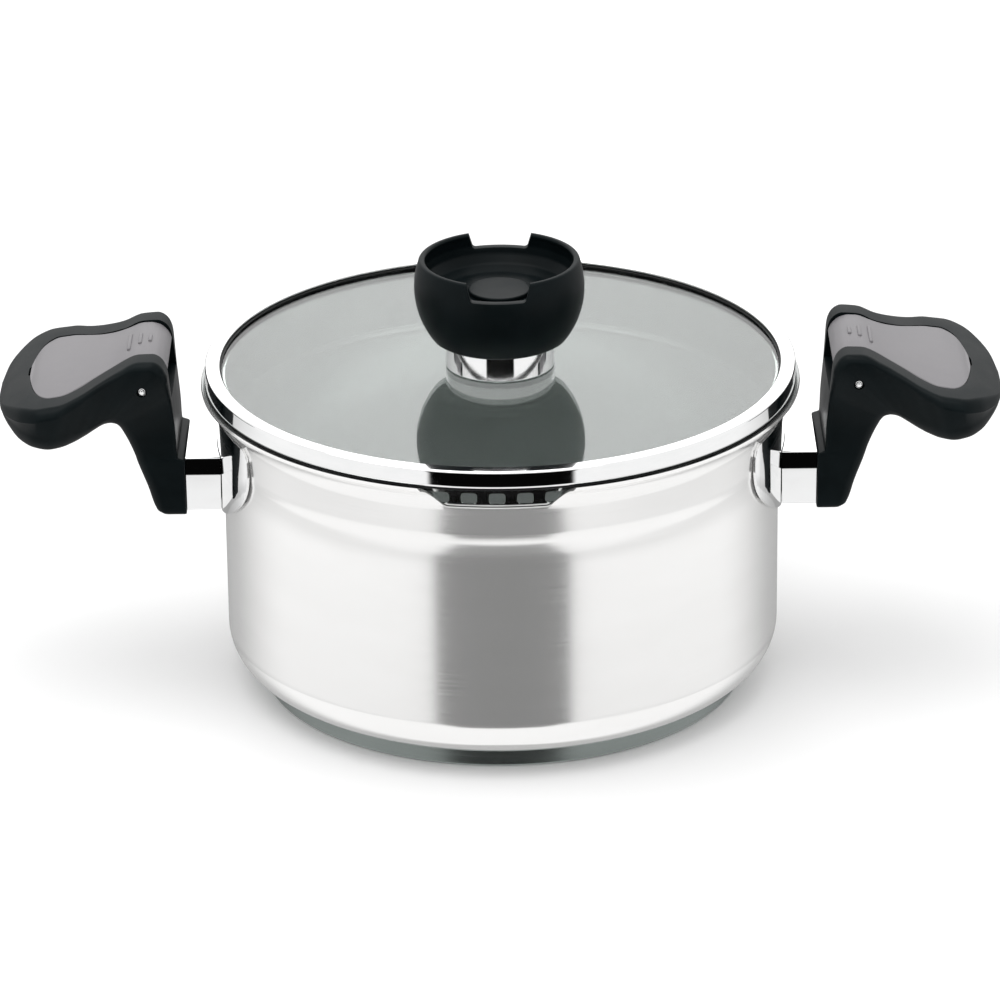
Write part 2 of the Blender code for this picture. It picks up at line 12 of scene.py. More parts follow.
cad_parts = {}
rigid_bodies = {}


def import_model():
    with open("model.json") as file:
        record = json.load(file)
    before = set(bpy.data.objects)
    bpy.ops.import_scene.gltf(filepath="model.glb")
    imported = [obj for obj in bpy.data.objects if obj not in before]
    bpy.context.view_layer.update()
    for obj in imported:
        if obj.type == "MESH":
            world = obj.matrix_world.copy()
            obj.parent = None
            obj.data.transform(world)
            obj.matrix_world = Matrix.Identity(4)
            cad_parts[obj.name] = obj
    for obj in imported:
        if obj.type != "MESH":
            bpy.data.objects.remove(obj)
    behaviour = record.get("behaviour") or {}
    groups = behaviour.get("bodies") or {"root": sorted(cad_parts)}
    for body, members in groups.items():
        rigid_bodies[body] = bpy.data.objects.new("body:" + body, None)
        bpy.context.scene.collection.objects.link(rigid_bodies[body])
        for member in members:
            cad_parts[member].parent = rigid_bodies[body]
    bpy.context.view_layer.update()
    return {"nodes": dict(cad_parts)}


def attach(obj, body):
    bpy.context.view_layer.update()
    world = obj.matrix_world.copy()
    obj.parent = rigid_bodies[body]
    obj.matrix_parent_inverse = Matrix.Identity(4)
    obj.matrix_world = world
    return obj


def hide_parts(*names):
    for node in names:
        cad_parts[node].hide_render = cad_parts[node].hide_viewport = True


MM = 0.001
GAP = 0.3  # play left between pieces that touch

# Pot
WALL_R = 121.0
WALL_T = 1.0
CORNER_R = 18.0
BASE_R = 106.0
BASE_H = 7.6  # height of the seam above the base cap
LEDGE_Z = 110.6  # where the wall steps out to make the inner ledge
LEDGE_STEP = 0.9
LEDGE_RISE = 2.2
FLARE_Z = 126.2  # where the rim starts to flare
FLARE_R = 9.9
FLARE_TURN = radians(78)
RIM_Z = 136.9
LIP_TOP = 33.0
LIP_BOTTOM = 21.5
LIP_FLOOR_Z = 126.2
LIP_CORNER = 2.6
UPPER_LEAN = 0.7  # how far the upper wall leans out below the flare
SUPPORT = 1.5  # distance of a holding loop from a bend
CLOCKING = radians(-0.9)  # the lips sit about a degree off the handles' mid line
TURN_STEPS = 256
POT_INSIDE_SHARE = 0.2  # a face that looks inwards by more than this is inner wall

# Lid
RING_R = 128.0
RING_IN = 121.6
RING_TOP = 145.0
RING_BOTTOM = 137.3
GLASS_R = 124.5
GLASS_TOP = 142.6
GLASS_BOTTOM = 138.8
SKIRT_R = 120.3
SKIRT_T = 0.9
SKIRT_Z = (113.5, 138.2)
SEAL_R = (122.6, 127.2)  # inner and outer radius of the rim seal
SEAL_Z = (136.3, 137.0)
SEAL_EDGE = 0.25
PANE_HOLE = 4.0
WINDOW = (7.0, 5.0, 1.6)  # width, height and corner radius
WINDOW_Z = 129.8
WINDOW_PITCH = radians(5.6)
WINDOWS_PER_SIDE = 7

# Knob
KNOB_R = 36.8
KNOB_Z = 178.2
KNOB_RIM_Z = 191.0
KNOB_FOOT_Z = 154.9
BOWL_FLOOR_Z = 175.5
# Half width at the floor, floor height, half width 20 mm up, corner radius
NOTCH = (11.8, 183.6, 16.9, 1.8)
NOTCH_RISE = 20.0
CAP_R = 13.5
CAP_TOP = 177.3
COLLAR_R = 23.7
BOLT_HOLE = 2.8

# Handles, for the one at +X
PIN = (153.8, 142.8)  # X and Z of the lever's pin
PIN_R = 2.0
PIN_END = 30.0
BOX_HALF = 22.9
BOX_Z = (83.8, 109.0)
BOX_EDGE = 0.7
BOX_BEND = 8.0  # height of the upright band along the top of the box side
BOX_TAPER = 1.4  # how far the side leans in below that band
LEG_FACE = 136.8
FOOT_T = 1.2
SLICE = 3.0  # width of the strips that the foot is bent in
FOOT_OUTLINE = (  # distance along the wall from the middle, and Z
    (0.0, 83.8),
    (23.0, 83.8),
    (32.0, 86.4),
    (38.5, 89.2),
    (44.6, 92.5),
    (50.0, 96.2),
    (54.4, 100.2),
    (57.8, 104.4),
    (60.2, 109.6),
    (61.0, 115.0),
    (61.0, 119.0),
    (59.6, 123.6),
    (56.0, 125.8),
    (44.6, 125.8),
    (23.0, 125.8),
    (0.0, 125.8),
)
TONGUE_HALF = 16.5
TONGUE_Z = (89.0, 104.0)
TONGUE_END = 143.5
PLATE_T = 3.0
PLATE_PLAY = 0.7
PLATE_EDGE = 0.7
RECESS_DEPTH = 4.2
RIB = (150.6, 160.0, 133.4, 7.0)  # from X, to X, bottom Z, half width
SPRING_SEAT = (147.0, 149.4, 2.5)  # from X, bottom Z, half width
SPRING = (148.6, 141.3, 149.1, 1.4)  # X, bottom Z, top Z, coil radius
GRIP_BARS = ((151.2, 7.0, 156.3), (155.5, 11.5, 156.1), (160.2, 18.0, 154.4))  # X, length, top Z
BAR_Y = -0.5  # the bars' middle
BAR_HALF = 0.8
CORNER_STEPS = 8
STATION_STEPS = 5

# (pot-side or top X, Z), (outer or lower X, Z), half widths, corner radii
HANDLE_SECTIONS = (
    ((136.8, 82.3), (147.6, 82.3), (22.6, 22.6), (1.0, 3.0)),
    ((136.8, 83.6), (149.8, 84.2), (24.0, 24.0), (1.0, 4.0)),
    ((136.8, 95.0), (153.4, 95.0), (24.0, 24.0), (1.0, 4.5)),
    ((136.8, 107.6), (157.6, 106.8), (24.0, 24.0), (1.0, 4.5)),
    ((140.0, 109.4), (158.4, 109.6), (24.0, 24.0), (1.5, 4.5)),
    ((140.4, 120.0), (162.2, 118.8), (24.0, 24.6), (2.0, 5.0)),
    ((141.6, 134.6), (165.4, 124.6), (25.8, 26.2), (3.0, 5.0)),
    ((142.3, 142.0), (167.2, 125.8), (29.2, 27.2), (3.5, 5.0)),
    ((143.0, 149.2), (169.0, 126.2), (32.0, 28.2), (4.0, 5.5)),
    ((145.2, 154.2), (170.6, 126.2), (33.0, 29.4), (4.0, 6.0)),
    ((149.2, 156.4), (172.4, 125.9), (33.0, 31.0), (4.0, 6.5)),
    ((155.4, 156.1), (175.2, 125.0), (32.6, 34.0), (4.0, 7.0)),
    ((163.8, 152.3), (179.4, 123.4), (34.2, 38.0), (4.5, 7.5)),
    ((172.0, 148.7), (184.2, 121.9), (38.8, 42.0), (4.5, 8.0)),
    ((180.2, 145.5), (189.2, 120.9), (45.6, 45.2), (5.0, 8.5)),
    ((188.2, 143.6), (194.4, 120.7), (50.8, 47.0), (5.0, 8.5)),
    ((196.2, 142.4), (200.4, 121.5), (51.2, 46.0), (5.0, 8.5)),
    ((204.0, 140.8), (206.4, 123.2), (46.2, 40.6), (5.0, 7.5)),
    ((210.4, 138.0), (211.2, 125.8), (36.2, 31.0), (4.0, 5.0)),
    ((214.8, 135.0), (214.8, 128.4), (24.6, 20.6), (2.5, 2.5)),
    ((217.2, 132.0), (217.1, 130.4), (10.0, 9.0), (0.7, 0.7)),
)

# Top X, Z and half width of the lever plate
PLATE_STATIONS = (
    (142.9, 147.2, 19.8),
    (143.8, 150.2, 19.8),
    (145.8, 153.2, 19.6),
    (148.6, 155.2, 19.4),
    (151.8, 155.9, 19.4),
    (155.0, 155.8, 19.3),
    (161.0, 153.6, 19.3),
    (167.4, 150.5, 21.7),
    (174.2, 147.8, 25.7),
    (181.1, 145.4, 31.3),
    (188.0, 143.6, 35.4),
    (193.0, 142.8, 35.6),
    (197.1, 142.1, 32.4),
    (200.5, 141.7, 24.5),
    (203.0, 141.2, 11.5),
    (203.9, 141.0, 3.0),
)

# Camera and studio
CAMERA_ELEVATION = radians(23.257)
CAMERA_TARGET = Vector((-0.0007, 0.0, 0.0777))
CAMERA_DISTANCE = 2.4
CAMERA_ROLL = radians(-0.62)
CAMERA_LENS = 197.03
SENSOR = 36.0
FLOOR_HALF = 9.0
LAMP_PLACE = (-0.3, -0.2, 2.3)
LAMP_SIZE = 2.0
LAMP_POWER = 26.0

# The surround. Heights are a direction's Z, from -1 below to 1 above; bearings are turned from the front.
# It is white with a dark gap at the front, wider above its foot.
GAP_FOOT = (-0.505, -0.455)
GAP_SIDE = (radians(20), radians(28))
GAP_SOFTNESS = radians(1.2)
GAP_LEVEL = (0.13, 0.002)
GAP_TOP = (0.02, 0.16)
GAP_BOTTOM = (-0.535, -0.515)
REAR_BEARING = (radians(100), radians(150))
REAR_LEVEL = 0.45
REAR_TOP = (-0.12, 0.02)
BAND_HEIGHT = (-0.445, -0.395)
BAND_LEVEL = 0.8
BAND_FOOT = (-0.475, -0.455)
GLOW_BEARING = (radians(140), radians(165))
GLOW_RISE = (0.2, 0.32)
GLOW_FALL = (0.5, 0.7)
GLOW_LEVEL = 0.8

# Finishes
BRUSH_SPREAD = 0.04
BRUSH_BUMP = 0.12
BRUSH_DEPTH = 0.000004
GLASS_IOR = 1.5


# ---------------------------------------------------------------- materials
class Nodes:
    """Short calls for adding shader nodes to one tree."""

    def __init__(self, tree):
        self.tree = tree

    def add(self, kind, **settings):
        node = self.tree.nodes.new(kind)
        for key, value in settings.items():
            setattr(node, key, value)
        return node

    def link(self, source, target):
        self.tree.links.new(source, target)

    def feed(self, socket, value):
        if isinstance(value, (int, float, tuple)):
            socket.default_value = value
        else:
            self.link(value, socket)

    def math(self, operation, a, b=None):
        node = self.add("ShaderNodeMath", operation=operation)
        self.feed(node.inputs[0], a)
        if b is not None:
            self.feed(node.inputs[1], b)
        return node.outputs[0]

    def ramp(self, value, low, high, to_low=0.0, to_high=1.0, smooth=True):
        kind = "SMOOTHSTEP" if smooth else "LINEAR"
        node = self.add("ShaderNodeMapRange", interpolation_type=kind)
        self.feed(node.inputs["Value"], value)
        node.inputs["From Min"].default_value = low
        node.inputs["From Max"].default_value = high
        node.inputs["To Min"].default_value = to_low
        node.inputs["To Max"].default_value = to_high
        return node.outputs["Result"]

    def place(self, scale=(1.0, 1.0, 1.0)):
        """Object coordinates in metres, stretched per axis."""
        coord = self.add("ShaderNodeTexCoord")
        mapping = self.add("ShaderNodeMapping")
        mapping.inputs["Scale"].default_value = scale
        self.link(coord.outputs["Object"], mapping.inputs["Vector"])
        return mapping.outputs["Vector"]

    def noise(self, scale, detail=3.0, roughness=0.55):
        node = self.add("ShaderNodeTexNoise")
        node.inputs["Scale"].default_value = 1.0
        node.inputs["Detail"].default_value = detail
        node.inputs["Roughness"].default_value = roughness
        self.link(self.place(scale), node.inputs["Vector"])
        return node.outputs["Fac"]

    def blend(self, factor, low, high):
        """Colour that runs from low to high over the factor's middle range."""
        node = self.add("ShaderNodeValToRGB")
        node.color_ramp.elements[0].position = 0.3
        node.color_ramp.elements[0].color = (*low, 1.0)
        node.color_ramp.elements[1].position = 0.7
        node.color_ramp.elements[1].color = (*high, 1.0)
        self.link(factor, node.inputs["Fac"])
        return node.outputs["Color"]

    def bump(self, height, strength, distance):
        node = self.add("ShaderNodeBump")
        node.inputs["Strength"].default_value = strength
        node.inputs["Distance"].default_value = distance
        self.link(height, node.inputs["Height"])
        return node.outputs["Normal"]


def surface(name, roughness, metallic=0.0):
    """A Principled material, its shader and the node helper."""
    material = bpy.data.materials.new(name)
    material.use_nodes = True
    shader = material.node_tree.nodes["Principled BSDF"]
    shader.inputs["Roughness"].default_value = roughness
    shader.inputs["Metallic"].default_value = metallic
    return material, shader, Nodes(material.node_tree)


def brushed_metal(name, low, high, roughness, anisotropy, haze=0.0, line=5200.0):
    """Steel brushed round the Z axis: fine lines, a vertical smear of highlights and faint cloudiness."""
    material, shader, nodes = surface(name, roughness, 1.0 - haze)
    shader.inputs["Anisotropic"].default_value = anisotropy
    tangent = nodes.add("ShaderNodeTangent", direction_type="RADIAL", axis="Z")
    nodes.link(tangent.outputs[0], shader.inputs["Tangent"])
    lines = nodes.noise((22.0, 22.0, line), 4.0, 0.65)
    cloud = nodes.noise((18.0, 18.0, 60.0), 2.0)
    tone = nodes.math("ADD", nodes.math("MULTIPLY", lines, 0.6), nodes.math("MULTIPLY", cloud, 0.4))
    nodes.link(nodes.blend(tone, low, high), shader.inputs["Base Color"])
    rough = nodes.ramp(lines, 0.3, 0.7, roughness - BRUSH_SPREAD, roughness + BRUSH_SPREAD, smooth=False)
    nodes.link(rough, shader.inputs["Roughness"])
    nodes.link(nodes.bump(lines, BRUSH_BUMP, BRUSH_DEPTH), shader.inputs["Normal"])
    return material


def polished_metal(name, low, high, roughness, smear=0.03):
    """Mirror-polished metal with a trace of uneven buffing."""
    material, shader, nodes = surface(name, roughness, 1.0)
    buff = nodes.noise((70.0, 70.0, 260.0), 4.0, 0.6)
    nodes.link(nodes.blend(buff, low, high), shader.inputs["Base Color"])
    rough = nodes.ramp(buff, 0.35, 0.7, roughness, roughness + smear, smooth=False)
    nodes.link(rough, shader.inputs["Roughness"])
    return material


def crowned_metal(name, low, high, roughness, lift):
    """Polished metal whose upright face leans a little upwards, as on a softly crowned band."""
    material = polished_metal(name, low, high, roughness)
    nodes = Nodes(material.node_tree)
    geometry = nodes.add("ShaderNodeNewGeometry")
    leaning = nodes.add("ShaderNodeVectorMath", operation="ADD")
    leaning.inputs[1].default_value = (0.0, 0.0, lift)
    nodes.link(geometry.outputs["Normal"], leaning.inputs[0])
    unit = nodes.add("ShaderNodeVectorMath", operation="NORMALIZE")
    nodes.link(leaning.outputs[0], unit.inputs[0])
    nodes.link(unit.outputs[0], material.node_tree.nodes["Principled BSDF"].inputs["Normal"])
    return material


def moulded(name, low, high, roughness, grain=2600.0, depth=0.00002, strength=0.25, specular=0.5):
    """Matt moulded plastic or silicone: fine spark texture and slow shifts of tone and sheen."""
    material, shader, nodes = surface(name, roughness)
    shader.inputs["Specular IOR Level"].default_value = specular
    slow = nodes.noise((60.0, 60.0, 60.0), 3.0)
    fine = nodes.noise((grain, grain, grain), 2.0, 0.6)
    nodes.link(nodes.blend(slow, low, high), shader.inputs["Base Color"])
    both = nodes.math("ADD", nodes.math("MULTIPLY", slow, 0.6), nodes.math("MULTIPLY", fine, 0.4))
    rough = nodes.ramp(both, 0.3, 0.7, roughness - 0.05, roughness + 0.06, smooth=False)
    nodes.link(rough, shader.inputs["Roughness"])
    nodes.link(nodes.bump(fine, strength, depth), shader.inputs["Normal"])
    return material


def clear_glass(name):
    """Tempered glass with a faint grey-green body and the odd trace of a wiped film."""
    material, shader, nodes = surface(name, 0.0)
    shader.inputs["Transmission Weight"].default_value = 1.0
    shader.inputs["IOR"].default_value = GLASS_IOR
    film = nodes.noise((14.0, 14.0, 14.0), 3.0)
    nodes.link(nodes.blend(film, (0.86, 0.915, 0.89), (0.89, 0.935, 0.915)), shader.inputs["Base Color"])
    nodes.link(nodes.ramp(film, 0.55, 0.8, 0.0, 0.02), shader.inputs["Roughness"])
    return material


STEEL = brushed_metal("brushed_steel", (0.90, 0.895, 0.885), (0.95, 0.945, 0.94), 0.12, 0.9, 0.24)
INSIDE = brushed_metal("satin_inside", (0.42, 0.435, 0.43), (0.5, 0.515, 0.51), 0.22, 0.75, 0.12)
# The base cap's steel is made dark: its colour is a painted reflection of dark ground at the pot's foot.
BASE = brushed_metal("base_steel", (0.20, 0.225, 0.215), (0.27, 0.30, 0.29), 0.2, 0.6, 0.1, 3600.0)
SKIRT = polished_metal("strainer_steel", (0.70, 0.71, 0.70), (0.80, 0.81, 0.80), 0.1)
CHROME = polished_metal("polished_steel", (0.88, 0.885, 0.885), (0.93, 0.93, 0.93), 0.035)
COLLAR = crowned_metal("collar_steel", (0.88, 0.885, 0.885), (0.93, 0.93, 0.93), 0.05, 0.2)
DARK_STEEL = polished_metal("spring_steel", (0.42, 0.43, 0.44), (0.55, 0.56, 0.57), 0.25, 0.1)
ALUMINIUM = polished_metal("aluminium", (0.76, 0.77, 0.79), (0.84, 0.85, 0.87), 0.38, 0.1)
GLASS = clear_glass("tempered_glass")
SILICONE = moulded("black_silicone", (0.006, 0.0065, 0.007), (0.012, 0.0125, 0.013), 0.5, specular=0.25)
BLACK_TONES = ((0.0022, 0.0042, 0.0048), (0.0038, 0.0068, 0.0078))
BLACK = moulded("soft_black_plastic", *BLACK_TONES, 0.38, specular=0.075)
GREY_TONES = ((0.155, 0.148, 0.157), (0.18, 0.172, 0.181))
GREY = moulded("satin_grey_plastic", *GREY_TONES, 0.34, 3200.0, 0.000012, 0.15, specular=0.3)


# ---------------------------------------------------------------- mesh helpers
def add_object(name, mesh, material=None):
    """Link a mesh as an object with one material."""
    obj = bpy.data.objects.new(name, mesh)
    bpy.context.scene.collection.objects.link(obj)
    if material:
        mesh.materials.clear()
        mesh.materials.append(material)
    return obj


def mesh_from_bmesh(name, bm):
    """Turn a bmesh into a mesh with consistent outward normals."""
    bmesh.ops.recalc_face_normals(bm, faces=bm.faces[:])
    mesh = bpy.data.meshes.new(name)
    bm.to_mesh(mesh)
    bm.free()
    return mesh


def baked(obj, sharp=35, weld=0.000002):
    """Apply an object's modifiers, weld stray doubles and shade it smooth with its sharp edges kept."""
    graph = bpy.context.evaluated_depsgraph_get()
    mesh = bpy.data.meshes.new_from_object(obj.evaluated_get(graph))
    obj.modifiers.clear()
    obj.data = mesh
    bm = bmesh.new()
    bm.from_mesh(mesh)
    bmesh.ops.remove_doubles(bm, verts=bm.verts, dist=weld)
    bm.to_mesh(mesh)
    bm.free()
    mesh.shade_smooth()
    mesh.set_sharp_from_angle(angle=radians(sharp))
    return obj


def arc(center, radius, start, end, count):
    """Points (r, z) along an arc; angles in radians from the +r direction."""
    steps = [start + (end - start) * i / count for i in range(count + 1)]
    return [(center[0] + radius * cos(a), center[1] + radius * sin(a)) for a in steps]


def eased(points, rules, count=5):
    """Round chosen corners of a polyline, with holding points beside each; rules maps index to radius."""
    result = []
    total = len(points)
    for i, point in enumerate(points):
        radius = rules.get(i, 0.0)
        if not radius:
            result.append(point)
            continue
        here = Vector(point)
        behind = Vector(points[i - 1]) - here
        onward = Vector(points[(i + 1) % total]) - here
        back, ahead = behind.normalized(), onward.normalized()
        half = back.angle(ahead) / 2
        reach = radius / max(0.05, abs(sin(half) / cos(half)))
        center = here + (back + ahead).normalized() * (radius / sin(half))
        start = here + back * reach - center
        end = here + ahead * reach - center
        hold = reach + 0.2 + 0.1 * radius
        if behind.length > 2.5 * hold:
            result.append(tuple(here + back * hold))
        for k in range(count + 1):
            mixed = start.normalized().slerp(end.normalized(), k / count)
            result.append(tuple(center + mixed * radius))
        if onward.length > 2.5 * hold:
            result.append(tuple(here + ahead * hold))
    return result


def turned(name, profile, material, steps=TURN_STEPS, closed=False):
    """Turn an (r, z) profile in mm about the Z axis."""
    bm = bmesh.new()
    count = len(profile)
    columns = []
    poles = {}
    for s in range(steps):
        a = 2 * pi * s / steps
        column = []
        for i, (r, z) in enumerate(profile):
            if r < 0.0001:
                if i not in poles:
                    poles[i] = bm.verts.new((0.0, 0.0, z * MM))
                column.append(poles[i])
            else:
                column.append(bm.verts.new((r * MM * cos(a), r * MM * sin(a), z * MM)))
        columns.append(column)
    spans = count if closed else count - 1
    for s in range(steps):
        here, there = columns[s], columns[(s + 1) % steps]
        for i in range(spans):
            j = (i + 1) % count
            corners = []
            for vert in (here[i], there[i], there[j], here[j]):
                if vert not in corners:
                    corners.append(vert)
            if len(corners) > 2:
                bm.faces.new(corners)
    return add_object(name, mesh_from_bmesh(name, bm), material)


def loft(name, rings, material=None):
    """Skin closed rings of points in mm, with a flat cap at each end."""
    bm = bmesh.new()
    rows = [[bm.verts.new(Vector(p) * MM) for p in ring] for ring in rings]
    count = len(rows[0])
    for a, b in zip(rows, rows[1:]):
        for i in range(count):
            j = (i + 1) % count
            bm.faces.new((a[i], a[j], b[j], b[i]))
    bm.faces.new(rows[0])
    bm.faces.new(rows[-1])
    return add_object(name, mesh_from_bmesh(name, bm), material)


def box(name, low, high, edge=0.0, material=None):
    """A box between two corners in mm, with rounded edges if edge is given."""
    bm = bmesh.new()
    bmesh.ops.create_cube(bm, size=1.0)
    size = Vector([high[i] - low[i] for i in range(3)]) * MM
    middle = Vector([(high[i] + low[i]) / 2 for i in range(3)]) * MM
    bmesh.ops.scale(bm, vec=size, verts=bm.verts)
    bmesh.ops.translate(bm, vec=middle, verts=bm.verts)
    if edge:
        bmesh.ops.bevel(bm, geom=bm.edges[:], offset=edge * MM, segments=4, profile=0.5, affect="EDGES")
    return add_object(name, mesh_from_bmesh(name, bm), material)


def prism(name, outline, half_width, material=None):
    """Extrude an (x, z) outline in mm along Y, to both sides of the middle."""
    rings = [[(x, y, z) for x, z in outline] for y in (-half_width, half_width)]
    return loft(name, rings, material)


def rod(name, radius, center, length, axis, segments=48):
    """A cylinder about a point in mm."""
    bm = bmesh.new()
    size = radius * MM
    bmesh.ops.create_cone(bm, cap_ends=True, segments=segments, radius1=size, radius2=size, depth=length * MM)
    turn = Vector((0, 0, 1)).rotation_difference(Vector(axis)).to_matrix().to_4x4()
    bm.transform(Matrix.Translation(Vector(center) * MM) @ turn)
    return add_object(name, mesh_from_bmesh(name, bm))


def cut(obj, tool, operation="DIFFERENCE"):
    """Boolean obj with a tool object, apply it and delete the tool."""
    boolean = obj.modifiers.new("cut", "BOOLEAN")
    boolean.operation = operation
    boolean.solver = "EXACT"
    boolean.object = tool
    bpy.context.view_layer.update()
    graph = bpy.context.evaluated_depsgraph_get()
    mesh = bpy.data.meshes.new_from_object(obj.evaluated_get(graph))
    obj.modifiers.clear()
    obj.data = mesh
    bpy.data.objects.remove(tool)
    return obj


def edged(obj, width, angle=40, segments=3):
    """Round an object's sharp edges by a width in mm."""
    bevel = obj.modifiers.new("edges", "BEVEL")
    bevel.width = width * MM
    bevel.segments = segments
    bevel.limit_method = "ANGLE"
    bevel.angle_limit = radians(angle)
    bevel.use_clamp_overlap = True
    return obj


def stands_for(obj, body, slot, *nodes):
    """Let a piece replace CAD nodes and ride on their body. Its slot is not used."""
    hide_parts(*nodes)
    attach(obj, body)
    return obj


def mirrored(obj, name):
    """A mirror image of a +X piece at -X."""
    mesh = obj.data.copy()
    mesh.transform(Matrix.Scale(-1, 4, Vector((1, 0, 0))))
    mesh.flip_normals()
    twin = bpy.data.objects.new(name, mesh)
    bpy.context.scene.collection.objects.link(twin)
    return twin


def both_sides(obj, node, slot, bodies=("pot", "pot")):
    """Put a +X handle piece and its mirror image in place of the CAD nodes of both sides."""
    twin = mirrored(obj, f"left_{node}_look")
    obj.name = f"right_{node}_look"
    stands_for(twin, bodies[0], slot, f"left_{node}")
    stands_for(obj, bodies[1], slot, f"right_{node}")


def interpolated(rows, steps):
    """Denser rows of numbers through the given ones, without overshoot; the first four place a row."""
    places = [0.0]
    for a, b in zip(rows, rows[1:]):
        places.append(places[-1] + max(0.2, sqrt(sum((b[k] - a[k]) ** 2 for k in range(min(4, len(a)))))))
    last = len(rows) - 1
    slopes = []
    for k in range(len(rows[0])):
        rise = [(rows[i + 1][k] - rows[i][k]) / (places[i + 1] - places[i]) for i in range(last)]
        column = [rise[0]]
        for before, after in zip(rise, rise[1:]):
            same = before * after > 0
            column.append(2 * before * after / (before + after) if same else 0.0)
        column.append(rise[-1])
        slopes.append(column)
    result = []
    for i in range(last):
        width = places[i + 1] - places[i]
        for s in range(steps if i < last - 1 else steps + 1):
            t = s / steps
            h00 = (1 + 2 * t) * (1 - t) ** 2
            h10 = t * (1 - t) ** 2
            h01 = t * t * (3 - 2 * t)
            h11 = t * t * (t - 1)
            row = []
            for k, (a, b) in enumerate(zip(rows[i], rows[i + 1])):
                row.append(h00 * a + h01 * b + width * (h10 * slopes[k][i] + h11 * slopes[k][i + 1]))
            result.append(row)
    return result


# ---------------------------------------------------------------- pot
def pot_profile():
    """Inner floor to rim to outer bottom, as one open line that starts and ends on the axis."""
    center = (WALL_R - CORNER_R, BASE_H + sqrt(CORNER_R**2 - (BASE_R - WALL_R + CORNER_R) ** 2))
    meet = asin((center[1] - BASE_H) / CORNER_R)
    floor_z = BASE_H + WALL_T
    inner_r = CORNER_R - WALL_T
    inner_meet = asin((center[1] - floor_z) / inner_r)
    inside = WALL_R - WALL_T
    upper = WALL_R + LEDGE_STEP
    flare = (upper + FLARE_R, FLARE_Z)
    inner = [(0.0, floor_z), (60.0, floor_z), (BASE_R - 6.0, floor_z)]
    inner += arc(center, inner_r, -inner_meet, 0.0, 14)
    inner += [(inside, center[1] + SUPPORT), (inside, 60.0), (inside, LEDGE_Z - SUPPORT), (inside, LEDGE_Z)]
    inner += [(inside + 0.3, LEDGE_Z + 0.7), (upper - WALL_T - 0.2, LEDGE_Z + LEDGE_RISE)]
    inner += [(upper - WALL_T, LEDGE_Z + 0.8 + LEDGE_RISE), (upper - WALL_T, FLARE_Z - SUPPORT)]
    inner += arc(flare, FLARE_R + WALL_T, pi, pi - FLARE_TURN, 14)
    lean = UPPER_LEAN / 2
    outer = arc(flare, FLARE_R - lean, pi - FLARE_TURN, pi - radians(4), 14)
    tip = Vector(inner[-1]).lerp(Vector(outer[0]), 0.5)
    out = (Vector(inner[-1]) - Vector(inner[-2])).normalized() * 0.25
    outer.insert(0, tuple(tip + out))
    outer += [(upper + lean * 0.8, FLARE_Z - SUPPORT), (upper - lean * 0.6, LEDGE_Z + LEDGE_RISE + SUPPORT)]
    outer += [(upper - lean * 0.8, LEDGE_Z + 1.6), (upper - lean * 1.4, LEDGE_Z - 0.4)]
    outer += [(WALL_R + 0.27, LEDGE_Z - 3.0), (WALL_R + 0.13, LEDGE_Z - 6.0), (WALL_R + 0.03, LEDGE_Z - 9.0)]
    outer += [(WALL_R, LEDGE_Z - 12.0), (WALL_R, LEDGE_Z - 15.0), (WALL_R, 60.0)]
    outer.append((WALL_R, center[1] + SUPPORT))
    outer += arc(center, CORNER_R, 0.0, -meet, 14)
    return inner + outer + [(BASE_R - 3.0, BASE_H), (60.0, BASE_H), (0.0, BASE_H)]


def build_pot():
    """Pot shell with its two pouring lips, and the base cap."""
    pot = turned("pot_shell", pot_profile(), STEEL)
    slope = (LIP_TOP - LIP_BOTTOM) / (RIM_Z - LIP_FLOOR_Z)
    top_z = RIM_Z + 6.0
    top = LIP_BOTTOM + slope * (top_z - LIP_FLOOR_Z)
    outline = [(-LIP_BOTTOM, LIP_FLOOR_Z), (LIP_BOTTOM, LIP_FLOOR_Z), (top, top_z), (-top, top_z)]
    bar = prism("lip_tool", eased(outline, {0: LIP_CORNER, 1: LIP_CORNER}), WALL_R + 20)
    bar.rotation_euler = (0, 0, CLOCKING)
    cut(pot, bar)
    baked(pot, 40)
    pot.data.materials.append(INSIDE)
    for face in pot.data.polygons:
        outward = Vector((face.center.x, face.center.y, 0.0)).normalized().dot(face.normal)
        if outward < -POT_INSIDE_SHARE or (face.normal.z > 0.5 and face.center.z < 0.04):
            face.material_index = 1
    stands_for(pot, "pot", "steel", "pot_body")

    wall = BASE_R - 1.0
    rim_z = BASE_H - GAP
    cap = [(0.0, 0.8), (wall, 0.8), (wall, rim_z), (BASE_R, rim_z), (BASE_R, 0.0), (0.0, 0.0)]
    cap = eased(cap, {3: 0.35, 4: 0.5})
    stands_for(baked(turned("base_shell", cap, BASE), 50), "pot", "base_steel", "base_cap")


